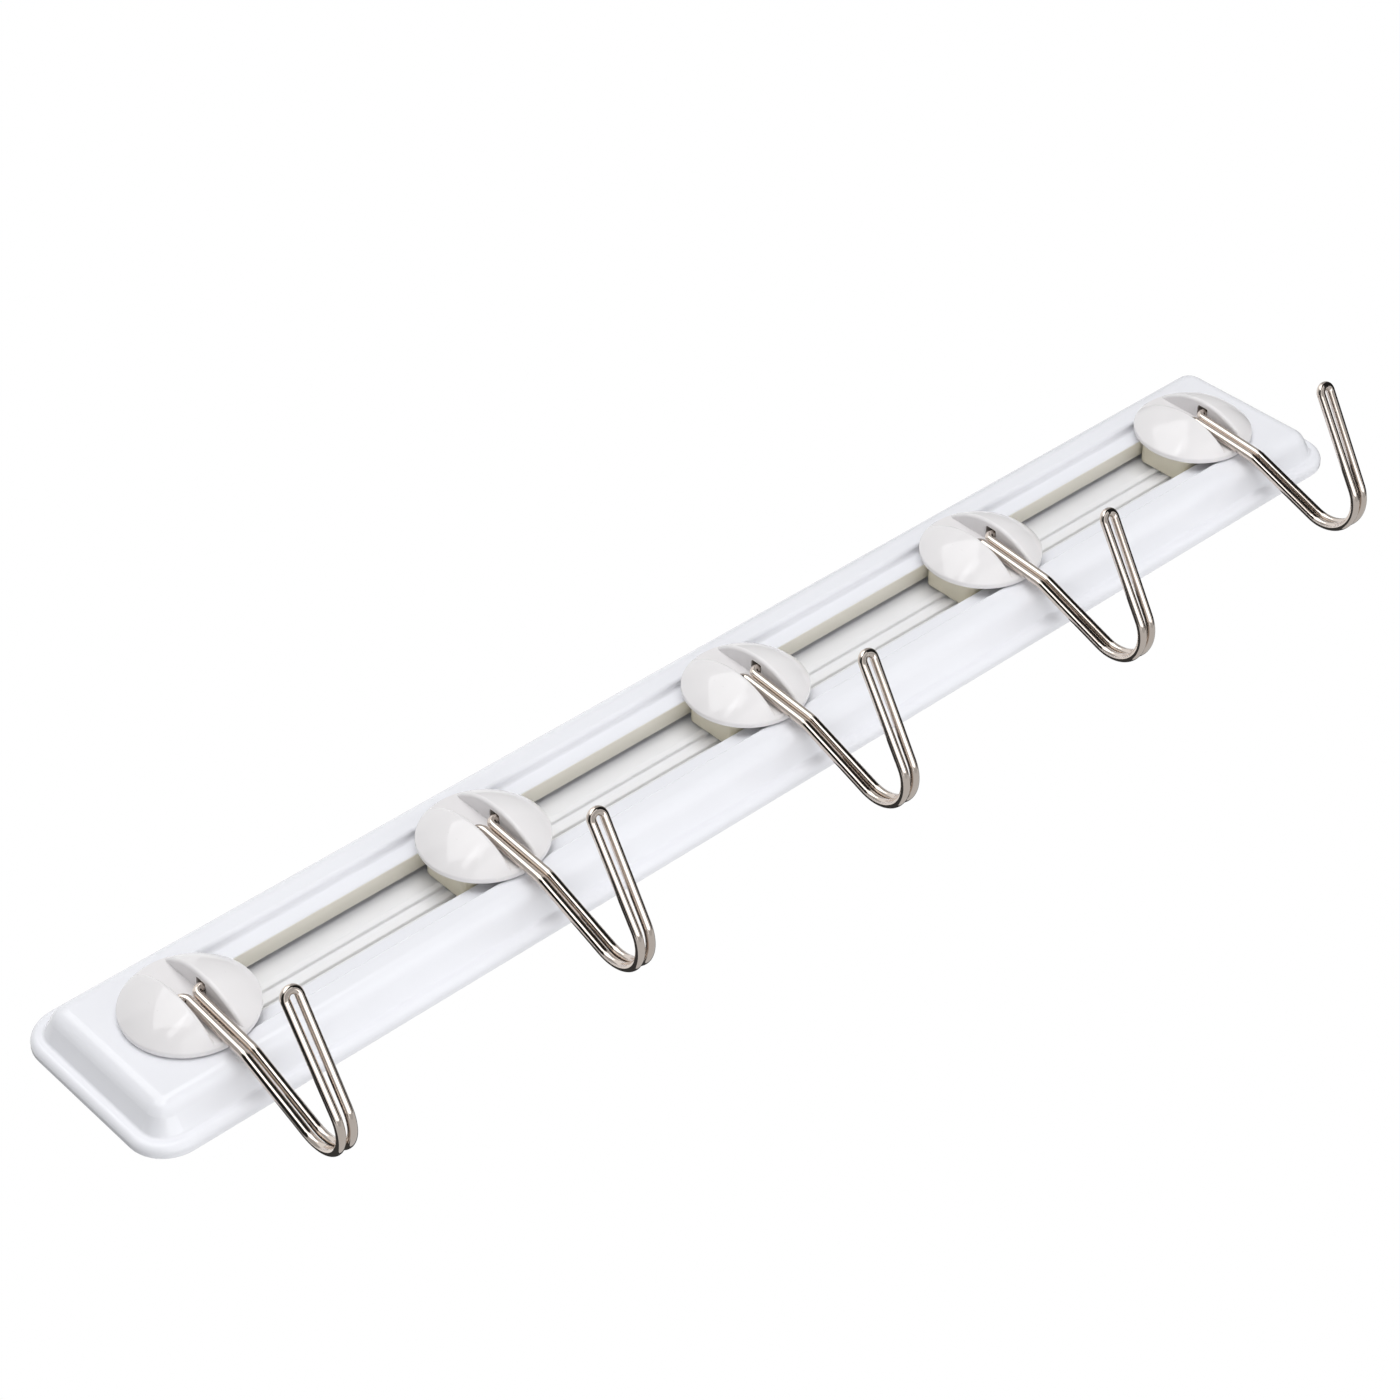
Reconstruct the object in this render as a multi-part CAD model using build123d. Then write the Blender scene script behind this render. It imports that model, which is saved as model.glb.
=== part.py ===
from build123d import *
from math import acos, atan2, cos, hypot, sin
import os

# Wall rack: a hollow moulded rail, closed by a back plate, with slotted knobs that slide along a
# channel, and a bent wire hook that swings in each knob. Sizes in millimetres.
# Each piece is drawn with x along the rail, y up and z out from the wall, then stood up on the wall.

# Rail moulding
rail_length = 380.0
rail_width = 53.0
rail_corner = 9.5          # plan radius of the flange's corners
rail_height = 9.5          # platform above the wall
flange_width = 3.0         # how far the flange stands out past the sides
flange_height = 3.0
bead_radius = 1.8          # rounded upper edge of the flange
flange_heel = 0.4          # rounding where the flange meets the wall
side_draft = 27.0          # degrees that the sides lean in
shoulder_radius = 4.6      # rounding between the sides and the platform
cove_radius = 0.8          # hollow rounding where the sides meet the flange
roof = 2.0                 # wall of the moulding above its hollow

# Sunk strip along the platform
strip_width = 26.6
strip_depth = 2.3
strip_round = 0.9          # rounding at the top and foot of its step

# Knobs
knob_count = 5
end_margin = 28.4          # from the rail's end to the middle of the end knob
knob_radius = 15.5
knob_rim = 1.5             # straight wall under the dome
dome_height = 6.4
rim_round = 0.6
knob_lift = 0.2            # running gap between knob and platform
slot_width = 6.7           # slot across the knob, for the hook
slot_floor = 2.1           # floor of the slot above the knob's underside
slot_edge = 0.8            # rounding of the slot's edges
neck_length = 23.2
neck_width = 16.2
neck_corner = 2.5
catch_length = 16.0        # feet that run under the lips
catch_reach = 1.6

# Channel in the rail
neck_gap = 0.4             # running gap between the neck and the lips
end_gap = 0.3              # gap left when an end knob reaches the channel's end
lip_height = 4.6           # height of the lips at the channel's edges
lip_wall = 1.8
lip_round = 0.4
catch_gap = 0.3            # running gap above and below the catches, and above the ribs
rib_side = 0.6             # gap between the catches and the ribs

# Back plate
plate_thickness = 1.0
plate_inset = 4.0          # from the flange's outer edge
plate_corner = 5.5
plate_gap = 0.15
ledge = 1.0                # step inside the rail that the plate seats on
hollow_corner = 4.5
rib_width = 2.0
rib_height = 0.8
rib_spacing = 3.8
rib_round = 0.35           # rounding at the ribs' tops and feet

# Keyholes in the plate, for round-head screws
keyhole_margin = 10.0      # from the rail's end
keyhole_head = 7.6
keyhole_shank = 4.2
keyhole_drop = 7.0         # from the head's hole to the top of the slot

# Wire hooks: centre line seen from the side, measured down and out from the pivot
wire = 2.2
strand_gap = 0.3           # between the two strands of the shank
bend_gap = 0.5             # between them in the large bend
tip_gap = 1.3              # inside the hairpin at the tip
tip_flat = 0.2             # straight piece across the top of the hairpin
pivot_out = 4.6            # pivot above the knob's underside
pin_depth = 2.0            # wire end inside the slot's wall
pin_bend = 1.7
knee_drop = 21.1
knee_in = 1.8
knee_bend = 9.0
bend_drop = 44.7           # centre of the large bend
bend_radius = 9.7
tip_drop = 38.8
tip_out = 28.7
hole_width = 3.4
hole_corner = 0.6
hole_sill = 0.3            # from the slot's floor up to the hole
hole_seat = 0.1            # gap under the wire in its hole
pin_play = 0.3             # gap outside the wire in its hole
side_play = 1.4            # gap past the wire's end

# Slack in the places by which edges are picked
pick = 0.05

# Heights out from the wall that follow from these
strip_level = rail_height - strip_depth
lip_foot = strip_level - lip_height
catch_top = lip_foot - catch_gap
catch_foot = plate_thickness + catch_gap
neck_foot = plate_thickness + rib_height + catch_gap
knob_base = rail_height + knob_lift
dome_foot = knob_base + knob_rim
pivot_level = knob_base + pivot_out
slot_level = knob_base + slot_floor
hole_foot = slot_level + hole_sill
hole_top = pivot_level + wire / 2 + pin_play

# Drop of the pivot: the wire rests on the lower side of a hole in the knob's middle
pivot_drop = (hole_width - wire) / 2 - hole_seat

# Places along the rail
end_knob = rail_length / 2 - end_margin
knob_pitch = 2 * end_knob / (knob_count - 1)
knob_places = [index * knob_pitch - end_knob for index in range(knob_count)]
channel_length = 2 * (end_knob + neck_length / 2 + end_gap)
channel_width = neck_width + 2 * neck_gap
channel_corner = neck_corner + neck_gap


def block(outline, low, high, **options):
    # an outline raised from one height to another
    return extrude(Pos(0, 0, low) * outline, high - low, **options)


def edges_at(solid, height, half_length, half_width):
    # edges at one height that lie within a rectangle about the middle
    near = solid.edges().filter_by_position(Axis.Z, height - pick, height + pick)
    near = near.filter_by_position(Axis.X, -half_length - pick, half_length + pick)
    return near.filter_by_position(Axis.Y, -half_width - pick, half_width + pick)


def rail_outside():
    flange = block(RectangleRounded(rail_length, rail_width, rail_corner), 0, flange_height)
    flange = fillet(flange.faces().sort_by(Axis.Z)[-1].edges(), bead_radius)
    flange = fillet(flange.faces().sort_by(Axis.Z)[0].edges(), flange_heel)
    body_length = rail_length - 2 * flange_width
    body_width = rail_width - 2 * flange_width
    outline = RectangleRounded(body_length, body_width, rail_corner - flange_width)
    body = block(outline, flange_height, rail_height, taper=side_draft)
    body = fillet(body.faces().sort_by(Axis.Z)[-1].edges(), shoulder_radius)
    solid = flange + body
    return fillet(edges_at(solid, flange_height, body_length / 2, body_width / 2), cove_radius)


def rail():
    solid = rail_outside()
    strip = SlotCenterToCenter(2 * end_knob, strip_width)
    channel = RectangleRounded(channel_length, channel_width, channel_corner)
    solid -= block(strip, strip_level, rail_height + roof)
    half_strip = end_knob + strip_width / 2
    solid = fillet(edges_at(solid, rail_height, half_strip, strip_width / 2), strip_round)
    solid = fillet(edges_at(solid, strip_level, half_strip, strip_width / 2), strip_round)
    # hollow behind, less the sunk strip's floor and the lips around the channel
    inset = plate_inset + ledge
    hollow = RectangleRounded(rail_length - 2 * inset, rail_width - 2 * inset, hollow_corner)
    hollow = block(hollow, plate_thickness, rail_height - roof, taper=side_draft)
    strip_back = SlotCenterToCenter(2 * end_knob, strip_width + 2 * roof)
    hollow -= block(strip_back, strip_level - roof, rail_height)
    lips_length = channel_length + 2 * lip_wall
    lips_width = channel_width + 2 * lip_wall
    lips = RectangleRounded(lips_length, lips_width, channel_corner + lip_wall)
    hollow -= block(lips, lip_foot, rail_height)
    solid -= hollow
    solid -= block(channel, 0, rail_height)
    solid = fillet(edges_at(solid, strip_level, channel_length / 2, channel_width / 2), lip_round)
    seat_length = rail_length - 2 * plate_inset + 2 * plate_gap
    seat_width = rail_width - 2 * plate_inset + 2 * plate_gap
    seat = RectangleRounded(seat_length, seat_width, plate_corner + plate_gap)
    return solid - block(seat, 0, plate_thickness)


def keyhole():
    # round hole for the screw's head, with a slot above it that drops over the shank
    head = Pos(0, -keyhole_drop / 2) * Circle(keyhole_head / 2)
    top = Pos(0, keyhole_drop / 2) * Circle(keyhole_shank / 2)
    return head + top + Rectangle(keyhole_shank, keyhole_drop)


def back_plate():
    outline = RectangleRounded(rail_length - 2 * plate_inset, rail_width - 2 * plate_inset, plate_corner)
    solid = block(outline, 0, plate_thickness)
    keyhole_place = rail_length / 2 - keyhole_margin
    for side in (-1, 1):
        rib = Pos(0, side * rib_spacing / 2) * SlotOverall(channel_length, rib_width)
        solid += block(rib, plate_thickness, plate_thickness + rib_height)
        solid -= block(Pos(side * keyhole_place, 0) * keyhole(), 0, plate_thickness)
    for level in (plate_thickness, plate_thickness + rib_height):
        solid = fillet(edges_at(solid, level, channel_length / 2, channel_width / 2), rib_round)
    return solid


def dome():
    # low spherical cap on a straight rim, turned about the knob's middle
    ball = (knob_radius ** 2 + dome_height ** 2) / (2 * dome_height)
    half_turn = atan2(knob_radius, ball - dome_height) / 2
    top = dome_foot + dome_height
    middle = (ball * sin(half_turn), top - ball + ball * cos(half_turn))
    foot = Polyline((0, top), (0, knob_base), (knob_radius, knob_base), (knob_radius, dome_foot))
    cap = ThreePointArc((knob_radius, dome_foot), middle, (0, top))
    solid = revolve(Plane.XZ * make_face([*foot.edges(), cap]), Axis.Z)
    return fillet(solid.edges().filter_by(GeomType.CIRCLE), rim_round)


def carrier(place):
    solid = dome()
    slot = Rectangle(slot_width, 2 * knob_radius + slot_width)
    solid -= block(slot, slot_level, slot_level + 2 * dome_height)
    walls = solid.faces().filter_by(Axis.X)
    rims = [edge for edge in walls.edges() if edge.bounding_box().size.Z > slot_edge]
    solid = fillet(rims, slot_edge)
    hole = RectangleRounded(hole_width, hole_top - hole_foot, hole_corner)
    hole_length = slot_width + 2 * (pin_depth + side_play)
    hole_end = (-hole_length / 2, 0, (hole_foot + hole_top) / 2)
    side = Plane(origin=hole_end, x_dir=(0, 1, 0), z_dir=(1, 0, 0))
    solid -= extrude(side * hole, hole_length)
    solid += block(RectangleRounded(neck_length, neck_width, neck_corner), neck_foot, knob_base)
    feet = RectangleRounded(catch_length, neck_width + 2 * catch_reach, catch_reach)
    feet -= Rectangle(catch_length, rib_spacing + rib_width + 2 * rib_side)
    solid += block(feet, catch_foot, catch_top)
    return Pos(place, 0, 0) * solid


def tangent(point, centre, radius, side):
    # where a line from a point touches a circle, on one side of it
    across = point[0] - centre[0]
    out = point[1] - centre[1]
    turn = atan2(out, across) + side * acos(radius / hypot(across, out))
    return centre[0] + radius * cos(turn), centre[1] + radius * sin(turn)


def crossing(start, through, end, back):
    # where the line start-through meets the line end-back
    a = (through[0] - start[0], through[1] - start[1])
    b = (back[0] - end[0], back[1] - end[1])
    share = ((end[0] - start[0]) * b[1] - (end[1] - start[1]) * b[0]) / (a[0] * b[1] - a[1] * b[0])
    return start[0] + share * a[0], start[1] + share * a[1]


def hook(place):
    # one wire: in from a slot wall, down the shank, round the bend, up to the hairpin, and back
    knee = (knee_drop, -knee_in)
    tip = (tip_drop, tip_out)
    bend = (bend_drop, 0.0)
    leaving = tangent(knee, bend, bend_radius, 1)
    arriving = tangent(tip, bend, bend_radius, -1)
    half_shank = (wire + strand_gap) / 2
    half_tip = (wire + tip_gap) / 2
    spread = [(slot_width / 2 + pin_depth, (0.0, 0.0)), (half_shank, (0.0, 0.0)), (half_shank, knee)]
    spread += [((wire + bend_gap) / 2, crossing(knee, leaving, tip, arriving)), (half_tip, tip)]
    near = [(-half, -pivot_drop - drop, pivot_level + out) for half, (drop, out) in spread]
    far = [(-x, y, z) for x, y, z in reversed(near)]
    bends = [pin_bend, knee_bend, bend_radius, half_tip - tip_flat / 2]
    path = FilletPolyline(*near, *far, radius=[*bends, *reversed(bends)])
    end = Plane(origin=near[0], z_dir=(1, 0, 0))
    return Pos(place, 0, 0) * sweep(end * Circle(wire / 2), path=path)


def write(name, solid):
    # stand the piece up: y becomes up, and z comes out from the wall towards the front
    export_step(Rot(90, 0, 0) * solid, f"parts/{name}.step")


os.makedirs("parts", exist_ok=True)
write("rail", rail())
write("back_plate", back_plate())
for number, place in enumerate(knob_places, start=1):
    write(f"carrier_{number}", carrier(place))
    write(f"hook_{number}", hook(place))
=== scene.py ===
import bpy
import numpy as np
from mathutils import Matrix, Vector


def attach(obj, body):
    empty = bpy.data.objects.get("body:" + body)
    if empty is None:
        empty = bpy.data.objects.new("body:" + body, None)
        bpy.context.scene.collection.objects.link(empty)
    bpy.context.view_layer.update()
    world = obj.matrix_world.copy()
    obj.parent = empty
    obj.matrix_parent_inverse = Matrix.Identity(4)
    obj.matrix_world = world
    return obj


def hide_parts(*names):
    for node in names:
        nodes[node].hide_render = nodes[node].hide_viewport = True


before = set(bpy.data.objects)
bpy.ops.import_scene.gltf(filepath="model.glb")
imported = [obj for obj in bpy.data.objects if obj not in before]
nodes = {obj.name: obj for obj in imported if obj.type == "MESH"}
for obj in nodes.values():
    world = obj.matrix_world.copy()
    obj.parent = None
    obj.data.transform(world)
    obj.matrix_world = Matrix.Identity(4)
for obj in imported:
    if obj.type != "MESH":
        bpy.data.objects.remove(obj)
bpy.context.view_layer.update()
print("frame loaded:", len(nodes), "nodes")

hookPitch = 0.0808  # metres from one knob and its hook to the next
wide = 1.0  # metres, well past every side of the rack
wireMap = "alongWire"  # the wires' own UV map
noiseSpan = {"From Min": 0.3, "From Max": 0.7}  # nearly all values of a noise texture lie in here
mixFirst, mixSecond, mixResult = 6, 7, 2  # the sockets of a Mix node that carry colours


def linearOf(hexColour):
    # sRGB hex to linear: the lower toe is straight, the rest a 2.4 power
    parts = np.array([int(hexColour[i:i + 2], 16) / 255 for i in (1, 3, 5)])
    parts = np.where(parts <= 0.04045, parts / 12.92, ((parts + 0.055) / 1.055) ** 2.4)
    return (*parts, 1.0)


def perMetre(millimetres):
    return 1000 / millimetres  # texture scale for a pattern of that real size


def addNode(tree, kind, values=None, **settings):
    # one node with its settings, and with socket values or links from other sockets
    node = tree.nodes.new(kind)
    for name, value in settings.items():
        setattr(node, name, value)
    for name, value in (values or {}).items():
        if isinstance(value, bpy.types.NodeSocket):
            tree.links.new(value, node.inputs[name])
        else:
            node.inputs[name].default_value = value
    return node


def newMaterial(name):
    material = bpy.data.materials.new(name)
    material.use_nodes = True
    material.node_tree.nodes.clear()
    return material, material.node_tree


# places of painted shade, in metres: a box by its middle and half width on each axis, mirrored about zero,
# and along the rail about the middle of each pitch; the painted shade fades in from the box's sides
# painted shade: a warm, darker tint down in the rail's channel, where the lips shade its walls and floor
channelPaintedShade = {"stainAndPaintedShade": "#ECE6D1", "pitch": wide, "middle": (0.0, 0.0036, 0.0),
                "half": (0.1737, 0.0036, 0.0087), "fade": 0.0003}
# painted shade: dark brown inside the pivot holes in each carrier's slot walls
holePaintedShade = {"stainAndPaintedShade": "#5E4C2B", "pitch": hookPitch, "middle": (0.0062, 0.0139, 0.0),
             "half": (0.0026, 0.00185, 0.00175), "fade": 0.0001}
# painted shade: a warm, darker tint on the carriers' necks and feet under the domes, down in the channel
neckPaintedShade = {"stainAndPaintedShade": "#E9E3CF", "pitch": wide, "middle": (0.0, 0.0045, 0.0),
             "half": (wide, 0.0051, wide), "fade": 0.0003}


def withPaintedShade(tree, place, colour, look):
    # the colour with the painted shade mixed in by a mask, which is one inside the box and zero outside
    axes = addNode(tree, "ShaderNodeSeparateXYZ", {"Vector": place}).outputs
    along = addNode(tree, "ShaderNodeMath", {0: axes["X"], 1: look["pitch"] / 2, 2: -look["pitch"] / 2},
                    operation="WRAP").outputs[0]
    mask = 1.0
    for axis, middle, half in zip((along, axes["Y"], axes["Z"]), look["middle"], look["half"]):
        side = addNode(tree, "ShaderNodeMath", {0: axis}, operation="ABSOLUTE").outputs[0]
        shift = addNode(tree, "ShaderNodeMath", {0: side, 1: middle}, operation="SUBTRACT").outputs[0]
        away = addNode(tree, "ShaderNodeMath", {0: shift}, operation="ABSOLUTE").outputs[0]
        within = addNode(tree, "ShaderNodeMapRange", {
            "Value": away, "From Min": half, "From Max": half - look["fade"]}).outputs["Result"]
        mask = addNode(tree, "ShaderNodeMath", {0: mask, 1: within}, operation="MULTIPLY").outputs[0]
    mixed = addNode(tree, "ShaderNodeMix", {
        "Factor": mask, mixFirst: colour, mixSecond: linearOf(look["stainAndPaintedShade"])}, data_type="RGBA")
    return mixed.outputs[mixResult]


# the rail is glossy, the plate satin, as from a blasted tool, and the knobs glossier still, in a softer white
railLook = {"white": "#EFF0F5", "shade": "#EBECF1", "flowMm": 35.0, "hazeMm": 7.0, "peelMm": 1.6,
            "gloss": (0.1, 0.16), "sinkDepth": 0.00001, "peelDepth": 0.0000005, "ior": 1.53}
plateLook = {**railLook, "white": "#EFEFF1", "shade": "#EBEBED", "gloss": (0.42, 0.55), "peelMm": 0.8,
             "peelDepth": 0.000004}
knobLook = {**railLook, "white": "#EAE8E9", "shade": "#E7E5E6", "gloss": (0.05, 0.09), "flowMm": 12.0,
            "sinkDepth": 0.000006}


def mouldedPlastic(name, look, *paintedShades):
    # injection-moulded ABS: as glossy as its tool, with faint flow waves, orange peel and a little haze
    material, tree = newMaterial(name)
    place = addNode(tree, "ShaderNodeTexCoord").outputs["Object"]
    flow, haze, peel = (
        addNode(tree, "ShaderNodeTexNoise", {
            "Vector": place, "Scale": perMetre(look[size]), "Detail": detail}).outputs["Fac"]
        for size, detail in (("flowMm", 2.0), ("hazeMm", 3.0), ("peelMm", 1.0)))
    colour = addNode(tree, "ShaderNodeMix", {
        "Factor": flow, mixFirst: linearOf(look["white"]), mixSecond: linearOf(look["shade"])},
        data_type="RGBA").outputs[mixResult]
    # painted shade, mixed in where given
    for stainAndPaintedShade in paintedShades:
        colour = withPaintedShade(tree, place, colour, stainAndPaintedShade)
    rough = addNode(tree, "ShaderNodeMapRange", {
        "Value": haze, **noiseSpan, "To Min": look["gloss"][0], "To Max": look["gloss"][1]})
    waves = addNode(tree, "ShaderNodeBump", {"Height": flow, "Distance": look["sinkDepth"]})
    skin = addNode(tree, "ShaderNodeBump", {
        "Height": peel, "Distance": look["peelDepth"], "Normal": waves.outputs["Normal"]})
    shader = addNode(tree, "ShaderNodeBsdfPrincipled", {
        "Base Color": colour, "Roughness": rough.outputs["Result"], "IOR": look["ior"],
        "Normal": skin.outputs["Normal"]})
    addNode(tree, "ShaderNodeOutputMaterial", {"Surface": shader.outputs["BSDF"]})
    return material


wireLook = {"bright": "#DDD3CB", "dull": "#D2C7BD", "gloss": (0.06, 0.09), "stainMm": 6.0,
            "lineMm": (15.0, 0.3), "lineDepth": 0.0000004}


def platedWire(name, look):
    # bright nickel on drawn steel wire: mirror streaks, slightly warm, with fine lines from the drawing die;
    # the real lines are too fine to show, so they are drawn as coarse as they need to be
    material, tree = newMaterial(name)
    place = addNode(tree, "ShaderNodeTexCoord").outputs["Object"]
    stainAndPaintedShade = addNode(tree, "ShaderNodeTexNoise", {
        "Vector": place, "Scale": perMetre(look["stainMm"]), "Detail": 4.0}).outputs["Fac"]
    unrolled = addNode(tree, "ShaderNodeUVMap", uv_map=wireMap).outputs["UV"]
    drawn = addNode(tree, "ShaderNodeMapping", {
        "Vector": unrolled, "Scale": (*map(perMetre, look["lineMm"]), 1.0)}).outputs["Vector"]
    lines = addNode(tree, "ShaderNodeTexNoise", {
        "Vector": drawn, "Scale": 1.0, "Detail": 2.0}).outputs["Fac"]
    colour = addNode(tree, "ShaderNodeMix", {
        "Factor": stainAndPaintedShade, mixFirst: linearOf(look["bright"]), mixSecond: linearOf(look["dull"])},
        data_type="RGBA").outputs[mixResult]
    rough = addNode(tree, "ShaderNodeMapRange", {
        "Value": stainAndPaintedShade, **noiseSpan, "To Min": look["gloss"][0], "To Max": look["gloss"][1]})
    bump = addNode(tree, "ShaderNodeBump", {"Height": lines, "Distance": look["lineDepth"]})
    shader = addNode(tree, "ShaderNodeBsdfPrincipled", {
        "Base Color": colour, "Metallic": 1.0, "Roughness": rough.outputs["Result"],
        "Normal": bump.outputs["Normal"]})
    addNode(tree, "ShaderNodeOutputMaterial", {"Surface": shader.outputs["BSDF"]})
    return material


# the rail gets painted shade in its channel, and the carriers get it on their necks and in their pivot holes
finishes = {"rail": mouldedPlastic("railGlossAbs", railLook, channelPaintedShade),
            "back_plate": mouldedPlastic("plateSatinAbs", plateLook),
            "carrier": mouldedPlastic("knobGlossAbs", knobLook, neckPaintedShade, holePaintedShade),
            "hook": platedWire("hookNickelWire", wireLook)}
for name, node in nodes.items():
    kind = name if name in finishes else name.split("_")[0]
    for holder in node.material_slots:
        holder.material = finishes[kind]
print("materials assigned")

# the bent wire, in metres: half width, drop and reach out of each corner from the pivot, then the bend of
# each corner between the first and the last; where less than leastSide of a step leads away from the rail's
# length, the path has no side of its own and takes the nearest one
hookForm = {"count": 5, "pivotOut": 0.0143, "pivotDrop": 0.0005, "radius": 0.0011,
            "around": 40, "spacing": 0.0004, "arcSteps": 200, "leastSide": 0.05,
            "corners": ((0.00535, 0.0, 0.0), (0.00125, 0.0, 0.0), (0.00125, 0.0211, -0.0018),
                        (0.00135, 0.06702, -0.01836), (0.00175, 0.0388, 0.0287), (0.0, 0.0388, 0.0287)),
            "bends": (0.0017, 0.009, 0.0097, 0.00165)}


def bentPath(corners, form):
    # straight runs joined by arcs: each corner is cut back by bend / tan(half its angle), and the arc turns
    # about the point bend / sin(half its angle) along the bisector; then even steps along the length
    runs = [corners[:1]]
    share = np.linspace(0, 1, form["arcSteps"])[:, None]
    for before, corner, after, bend in zip(corners, corners[1:], corners[2:], form["bends"]):
        legs = np.array([before - corner, after - corner])
        legs /= np.linalg.norm(legs, axis=1, keepdims=True)
        half = np.arccos(legs[0] @ legs[1]) / 2
        bisector = legs.sum(axis=0) / np.linalg.norm(legs.sum(axis=0))
        centre = corner + bisector * bend / np.sin(half)
        start, end = corner + legs * bend / np.tan(half) - centre
        swing = np.pi - 2 * half
        arc = np.sin((1 - share) * swing) * start + np.sin(share * swing) * end
        runs.append(centre + arc / np.sin(swing))
    path = np.concatenate([*runs, corners[-1:]])
    length = np.concatenate([[0], np.cumsum(np.linalg.norm(np.diff(path, axis=0), axis=1))])
    steps = np.linspace(0, length[-1], int(length[-1] / form["spacing"]))
    return np.stack([np.interp(steps, length, path[:, k]) for k in range(3)], axis=1)


def wireMesh(name, place, form):
    # a circle carried along the path: path + radius x (cos(turn) x side + sin(turn) x (ahead x side)),
    # where side stands square to the path and to the rail's length; one strand is bent and then mirrored
    half, drop, out = np.array(form["corners"]).T
    corners = np.stack([-half, -form["pivotOut"] - out, -form["pivotDrop"] - drop], axis=1)
    near = bentPath(corners, form)
    path = np.concatenate([near, (near * (-1, 1, 1))[-2::-1]])
    side = np.cross(np.gradient(near, axis=0), (1.0, 0.0, 0.0))
    size = np.linalg.norm(side, axis=1)
    sound = np.flatnonzero(size > form["leastSide"] * form["spacing"])
    rows = np.clip(np.arange(len(near)), sound[0], sound[-1])
    side = side[rows] / size[rows, None]
    side = np.concatenate([side, side[-2::-1]])
    ahead = np.gradient(path, axis=0)
    ahead /= np.linalg.norm(ahead, axis=1, keepdims=True)
    turn = np.linspace(0, 2 * np.pi, form["around"], endpoint=False)[None, :, None]
    ring = np.cos(turn) * side[:, None] + np.sin(turn) * np.cross(ahead, side)[:, None]
    points = path[:, None] + form["radius"] * ring + (place, 0.0, 0.0)
    grid = np.arange(len(path) * form["around"]).reshape(len(path), form["around"])
    nextAround = np.roll(grid, -1, axis=1)
    quads = np.stack([grid[:-1], nextAround[:-1], nextAround[1:], grid[1:]], axis=2).reshape(-1, 4)
    ends = [grid[0, ::-1].tolist(), grid[-1].tolist()]
    mesh = bpy.data.meshes.new(name)
    mesh.from_pydata(points.reshape(-1, 3), [], quads.tolist() + ends)
    mesh.polygons.foreach_set("use_smooth", [True] * len(mesh.polygons))
    # the map runs along the wire and around it, both in metres, and leaves the two ends at zero
    row, column = np.indices((len(path), form["around"] + 1))
    flat = np.stack([row * form["spacing"], column * 2 * np.pi * form["radius"] / form["around"]], axis=2)
    spread = np.stack([flat[:-1, :-1], flat[:-1, 1:], flat[1:, 1:], flat[1:, :-1]], axis=2).reshape(-1, 2)
    spread = np.concatenate([spread, np.zeros((2 * form["around"], 2))])
    mesh.uv_layers.new(name=wireMap).data.foreach_set("uv", spread.reshape(-1))
    mesh.update()
    return mesh


for index in range(hookForm["count"]):
    name = "hook_%d" % (index + 1)
    place = (index - (hookForm["count"] - 1) / 2) * hookPitch
    piece = bpy.data.objects.new("wire_" + name, wireMesh(name, place, hookForm))
    piece.data.materials.append(finishes["hook"])
    bpy.context.scene.collection.objects.link(piece)
    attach(piece, name)
    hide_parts(name)
print("hooks bent")

# floorLift is the glow that seen rays find on the floor, worldFill the world's strength for all other rays;
# lamps: place, width and height, roll, power, lights dull surfaces, shows in gloss;
# cards that only gloss sees: the axis they stand square to and their place on it, the reach along the next
# two axes, and how bright they look
studio = {"floorLevel": -1.5, "floorSize": 80.0, "floor": "#F4F4F4", "floorRough": 0.9, "floorLift": 0.5,
          "worldFill": 0.43,
          "softboxes": {"key": ((-0.114, -1.141, 0.498), (1.43, 0.97), 0.64, 3.8, True, False),
                        "keyGlow": ((-0.188, -1.108, 0.419), (1.16, 0.92), 0.64, 6.0, False, True),
                        "front": ((0.0, -1.25, 0.0), (0.9, 0.9), 0.0, 6.9, True, False),
                        "back": ((0.0, 1.25, 0.0), (0.9, 0.9), 0.0, 6.5, True, False),
                        "low": ((-0.05, -0.14, -1.25), (1.8, 0.35), 0.0, 7.9, True, False),
                        "lowGlow": ((-0.3, -0.2, -1.2), (1.2, 0.35), 0.0, 2.3, False, True)},
          "cards": {"leftDark": ("x", -1.0, (-1.8, 0.3), (-0.6, 0.35), 0.02),
                    "leftPale": ("x", -1.0, (-1.8, 0.3), (0.35, 1.6), 0.45),
                    "rightDark": ("x", 1.0, (-1.8, 0.3), (-1.2, 0.35), 0.02),
                    "rightPale": ("x", 1.0, (-1.8, 0.3), (0.35, 1.6), 0.45),
                    "frontDark": ("y", -1.8, (-0.6, 0.45), (-1.0, 1.0), 0.02),
                    "frontPale": ("y", -1.8, (0.45, 1.6), (-1.0, 1.0), 0.45),
                    "frontGlow": ("y", -1.25, (-0.12, 0.07), (-0.95, 0.0), 2.0),
                    "underPale": ("z", -1.4, (-1.0, 1.0), (-1.8, 0.3), 0.5),
                    # painted shadow: the rack's shadow on the wall behind it, as a dim sheet that only gloss
                    # sees
                    "wallPaintedShadow": ("y", 0.3, (-0.04, 0.35), (-1.0, 1.0), 0.05),
                    "wallPale": ("y", 0.3, (-1.6, -0.04), (-1.0, 1.0), 0.62)}}


def seenRay(tree):
    # one for rays from the camera, gloss or glass, which see the background as bright as it is written
    path = addNode(tree, "ShaderNodeLightPath").outputs
    seen = path["Is Camera Ray"]
    for ray in ("Is Glossy Ray", "Is Transmission Ray"):
        seen = addNode(tree, "ShaderNodeMath", {0: seen, 1: path[ray]}, operation="MAXIMUM").outputs[0]
    return seen


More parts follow.
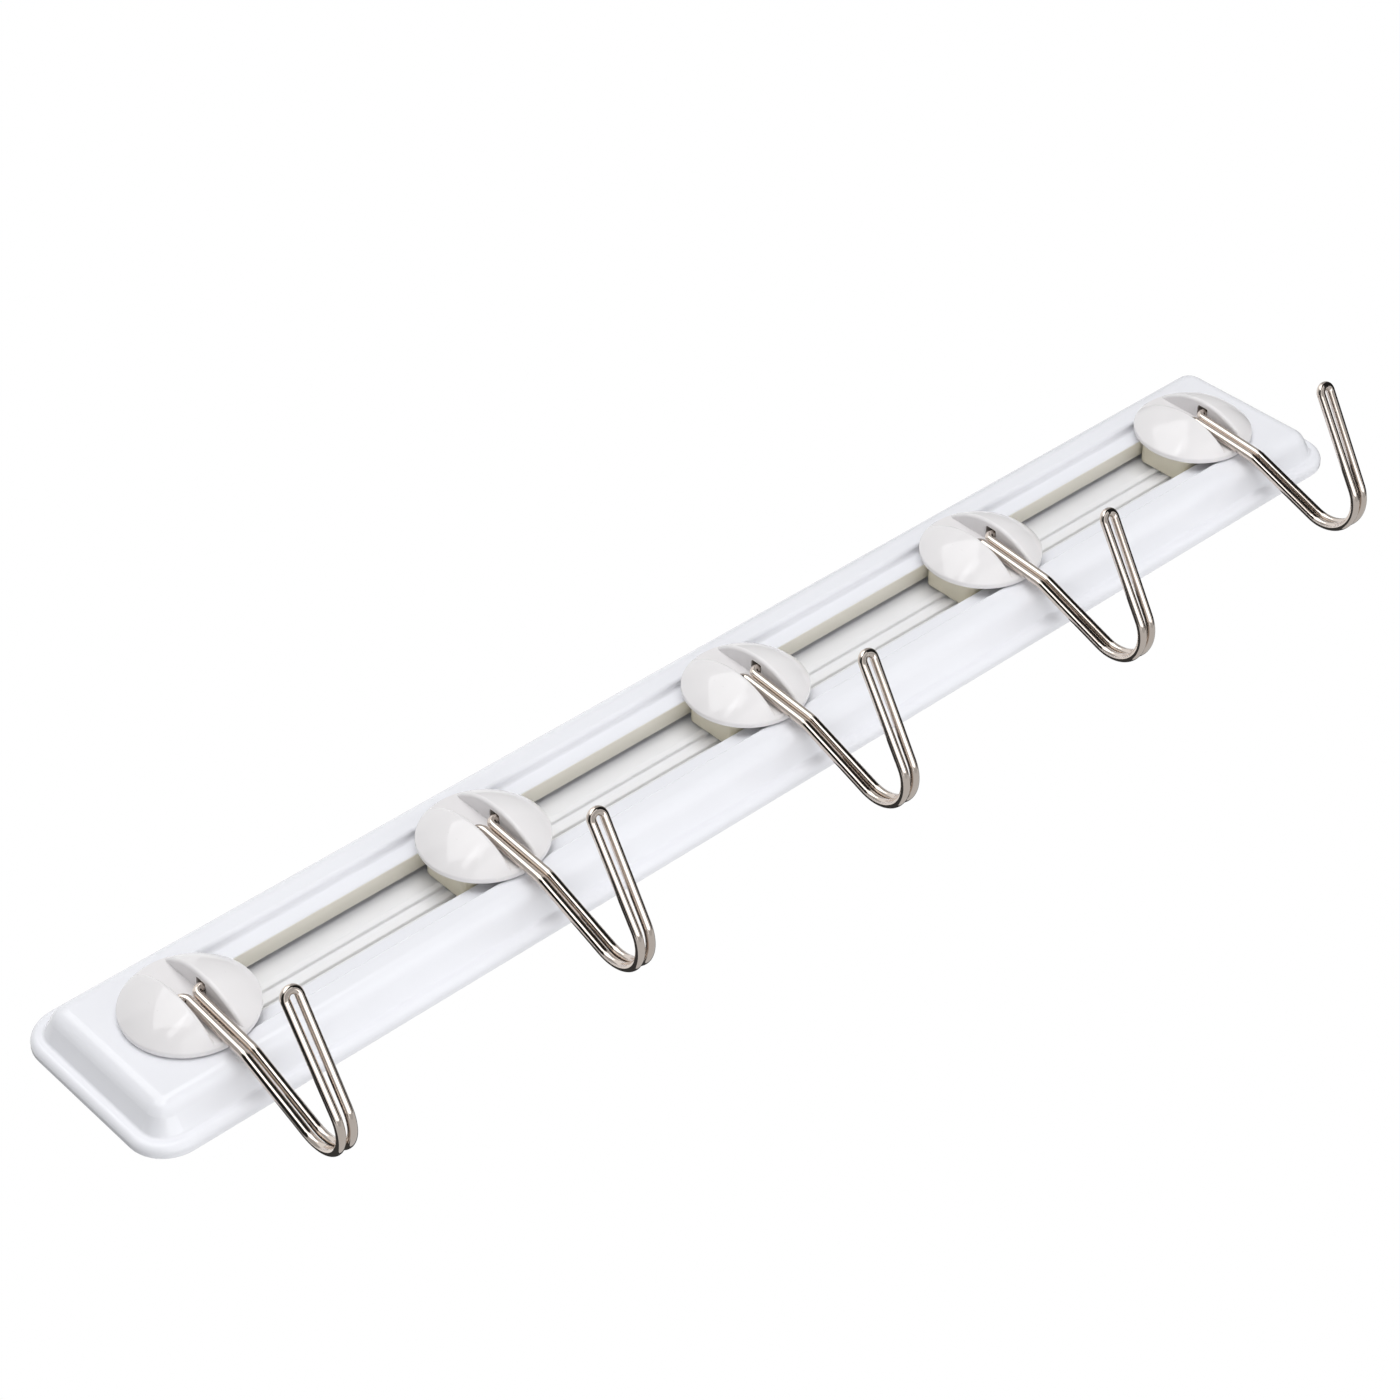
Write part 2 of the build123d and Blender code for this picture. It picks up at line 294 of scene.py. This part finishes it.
def stageSheet(name, corners, level, colour=None):
    # a flat sheet with these four corners: painted, with a glow for seen rays alone, or of one brightness
    mesh = bpy.data.meshes.new(name)
    mesh.from_pydata(corners, [], [(0, 1, 2, 3)])
    material, tree = newMaterial(name + "Paint")
    if colour:
        glow = addNode(tree, "ShaderNodeMath", {0: seenRay(tree), 1: level}, operation="MULTIPLY").outputs[0]
        shader = addNode(tree, "ShaderNodeBsdfPrincipled", {
            "Base Color": linearOf(colour), "Roughness": studio["floorRough"],
            "Emission Color": linearOf(colour), "Emission Strength": glow})
    else:
        shader = addNode(tree, "ShaderNodeEmission", {"Strength": level})
    addNode(tree, "ShaderNodeOutputMaterial", {"Surface": shader.outputs[0]})
    mesh.materials.append(material)
    piece = bpy.data.objects.new(name, mesh)
    bpy.context.scene.collection.objects.link(piece)
    return piece


def facing(place, roll):
    # a matrix at a place, with its -z towards the rack's middle and its x along the rail, then rolled
    away = Vector(place).normalized()
    along = Vector((1, 0, 0)) - away.x * away
    along.normalize()
    turn = Matrix((along, away.cross(along), away)).transposed().to_4x4()
    return Matrix.Translation(place) @ turn @ Matrix.Rotation(roll, 4, "Z")


reach, low = studio["floorSize"] / 2, studio["floorLevel"]
stageSheet("floor", [(-reach, -reach, low), (reach, -reach, low), (reach, reach, low), (-reach, reach, low)],
           studio["floorLift"], studio["floor"])
for name, (axis, place, (low, high), (start, end), level) in studio["cards"].items():
    # the dark room with its paler parts and the rack's painted shadow on the wall, drawn square to x and then
    # rolled to the card's own axis
    turn = "xyz".index(axis)
    corners = [(place, low, start), (place, high, start), (place, high, end), (place, low, end)]
    card = stageSheet(name, [np.roll(corner, turn) for corner in corners], level)
    card.visible_camera = False
    card.visible_shadow = False
    card.visible_diffuse = False

world = bpy.data.worlds.new("studio")
bpy.context.scene.world = world
world.use_nodes = True
tree = world.node_tree
tree.nodes.clear()
strength = addNode(tree, "ShaderNodeMapRange", {
    "Value": seenRay(tree), "To Min": studio["worldFill"], "To Max": 1.0}).outputs["Result"]
back = addNode(tree, "ShaderNodeBackground", {"Color": (1, 1, 1, 1), "Strength": strength})
addNode(tree, "ShaderNodeOutputWorld", {"Surface": back.outputs["Background"]})

for name, (place, size, roll, power, lights, shows) in studio["softboxes"].items():
    lamp = bpy.data.lights.new(name, "AREA")
    lamp.shape = "RECTANGLE"
    lamp.size, lamp.size_y = size
    lamp.energy = power
    softbox = bpy.data.objects.new(name, lamp)
    softbox.matrix_world = facing(place, roll)
    softbox.visible_diffuse = lights
    softbox.visible_glossy = shows
    bpy.context.scene.collection.objects.link(softbox)

camera = {"place": (-0.41941, -0.49778, -0.44232), "right": (0.73845315, -0.00117631, -0.67430376),
          "ahead": (0.5253076, 0.62798201, 0.57418684), "lens": 84.143, "sensor": 36.0}
right = Vector(camera["right"])
ahead = Vector(camera["ahead"])
turn = Matrix((right, right.cross(ahead), -ahead)).transposed()
eye = bpy.data.objects.new("camera", bpy.data.cameras.new("camera"))
eye.data.lens = camera["lens"]
eye.data.sensor_width = camera["sensor"]
eye.matrix_world = Matrix.Translation(camera["place"]) @ turn.to_4x4()
bpy.context.scene.collection.objects.link(eye)
bpy.context.scene.camera = eye
bpy.context.scene.view_settings.view_transform = "Standard"
print("stage set")
